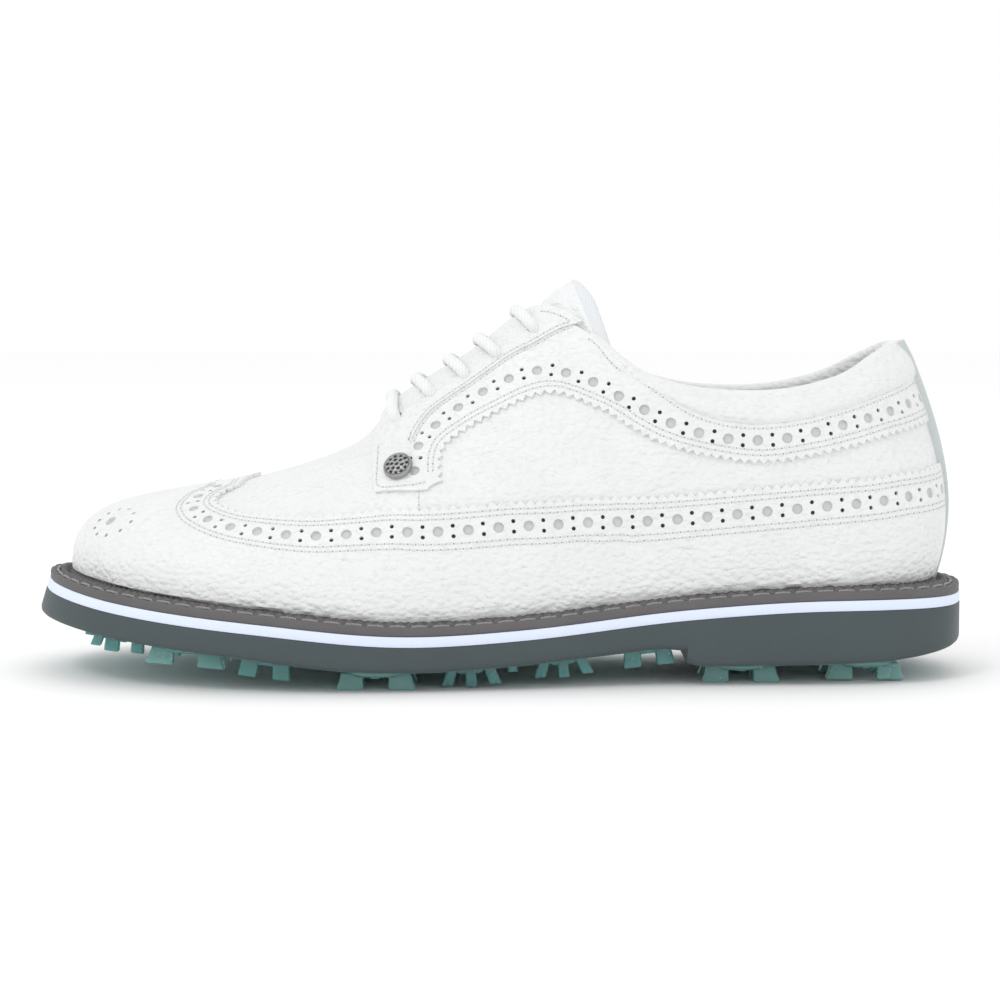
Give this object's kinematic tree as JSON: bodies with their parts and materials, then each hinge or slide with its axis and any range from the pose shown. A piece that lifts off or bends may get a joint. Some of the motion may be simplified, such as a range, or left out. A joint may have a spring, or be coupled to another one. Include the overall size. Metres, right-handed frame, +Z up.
{
  "type": "golf shoe",
  "caption": "Left white leather longwing brogue golf shoe with straight-bar laces, grey welt, slate outsole and twist-in soft cleats.",
  "frame": {"origin": "middle of the outsole's length and width, on the plane that the ball and heel cleats stand on", "axes": "+X towards the heel, +Y towards the inner (medial) side, +Z up"},
  "size_m": [0.305, 0.1101, 0.1286],
  "materials": {
    "white_leather": "pebbled, satin",
    "tongue_leather": "pebbled, satin",
    "back_strip": "satin",
    "lining": "woven",
    "board": "matte",
    "cork": "granular",
    "foam": "open foam",
    "steel": "worn satin",
    "lace": "round braid",
    "welt": "matte",
    "midsole": "matte",
    "outsole": "satin",
    "cleat_plastic": "translucent",
    "receptacle": "matte"
  },
  "bodies": {
    "shoe": {"wing_cap": "white_leather", "vamp": "white_leather", "side_panel_lateral": "white_leather", "side_panel_medial": "white_leather", "quarter_lateral": "white_leather", "quarter_medial": "white_leather", "facing_lateral": "white_leather", "facing_medial": "white_leather", "collar_lateral": "white_leather", "collar_medial": "white_leather", "tongue_base": "tongue_leather", "back_strip": "back_strip", "lining": "lining", "sockliner": "lining", "insole_board": "board", "toe_puff": "board", "heel_counter": "board", "forefoot_filler": "cork", "collar_foam_lateral": "foam", "collar_foam_medial": "foam", "shank": "steel", "facing_stud": "steel", "shoelace": "lace", "welt": "welt", "midsole": "midsole", "outsole": "outsole", "forefoot_traction_plate": "cleat_plastic", "heel_traction_plate": "cleat_plastic", "receptacle_front_lateral": "receptacle", "receptacle_front_medial": "receptacle", "receptacle_ball_lateral": "receptacle", "receptacle_ball_medial": "receptacle", "receptacle_heel_front_lateral": "receptacle", "receptacle_heel_front_medial": "receptacle", "receptacle_heel_back_lateral": "receptacle", "receptacle_heel_back_medial": "receptacle"},
    "tongue_top": {"tongue_top": "tongue_leather"},
    "cleat_front_lateral": {"cleat_front_lateral": "cleat_plastic"},
    "cleat_front_medial": {"cleat_front_medial": "cleat_plastic"},
    "cleat_ball_lateral": {"cleat_ball_lateral": "cleat_plastic"},
    "cleat_ball_medial": {"cleat_ball_medial": "cleat_plastic"},
    "cleat_heel_front_lateral": {"cleat_heel_front_lateral": "cleat_plastic"},
    "cleat_heel_front_medial": {"cleat_heel_front_medial": "cleat_plastic"},
    "cleat_heel_back_lateral": {"cleat_heel_back_lateral": "cleat_plastic"},
    "cleat_heel_back_medial": {"cleat_heel_back_medial": "cleat_plastic"}
  },
  "joints": [
    {"name": "tongue_flex", "type": "hinge", "parent": "shoe", "child": "tongue_top", "pos_m": [0.0136, 0, 0.1118], "axis": [0, -1, 0], "range_deg": [0, 25]},
    {"name": "front_lateral_twist", "type": "hinge", "parent": "shoe", "child": "cleat_front_lateral", "pos_m": [-0.09741, -0.03, 0.01237], "axis": [-0.0982, 0, -0.9952], "range_deg": [0, 90]},
    {"name": "front_medial_twist", "type": "hinge", "parent": "shoe", "child": "cleat_front_medial", "pos_m": [-0.09741, 0.033, 0.01237], "axis": [-0.0982, 0, -0.9952], "range_deg": [0, 90]},
    {"name": "ball_lateral_twist", "type": "hinge", "parent": "shoe", "child": "cleat_ball_lateral", "pos_m": [-0.038, -0.036, 0.006], "axis": [0, 0, -1], "range_deg": [0, 90]},
    {"name": "ball_medial_twist", "type": "hinge", "parent": "shoe", "child": "cleat_ball_medial", "pos_m": [-0.038, 0.031, 0.006], "axis": [0, 0, -1], "range_deg": [0, 90]},
    {"name": "heel_front_lateral_twist", "type": "hinge", "parent": "shoe", "child": "cleat_heel_front_lateral", "pos_m": [0.078, -0.021, 0.006], "axis": [0, 0, -1], "range_deg": [0, 90]},
    {"name": "heel_front_medial_twist", "type": "hinge", "parent": "shoe", "child": "cleat_heel_front_medial", "pos_m": [0.078, 0.018, 0.006], "axis": [0, 0, -1], "range_deg": [0, 90]},
    {"name": "heel_back_lateral_twist", "type": "hinge", "parent": "shoe", "child": "cleat_heel_back_lateral", "pos_m": [0.118, -0.018, 0.0065], "axis": [0, 0, -1], "range_deg": [0, 90]},
    {"name": "heel_back_medial_twist", "type": "hinge", "parent": "shoe", "child": "cleat_heel_back_medial", "pos_m": [0.118, 0.018, 0.0065], "axis": [0, 0, -1], "range_deg": [0, 90]}
  ]
}
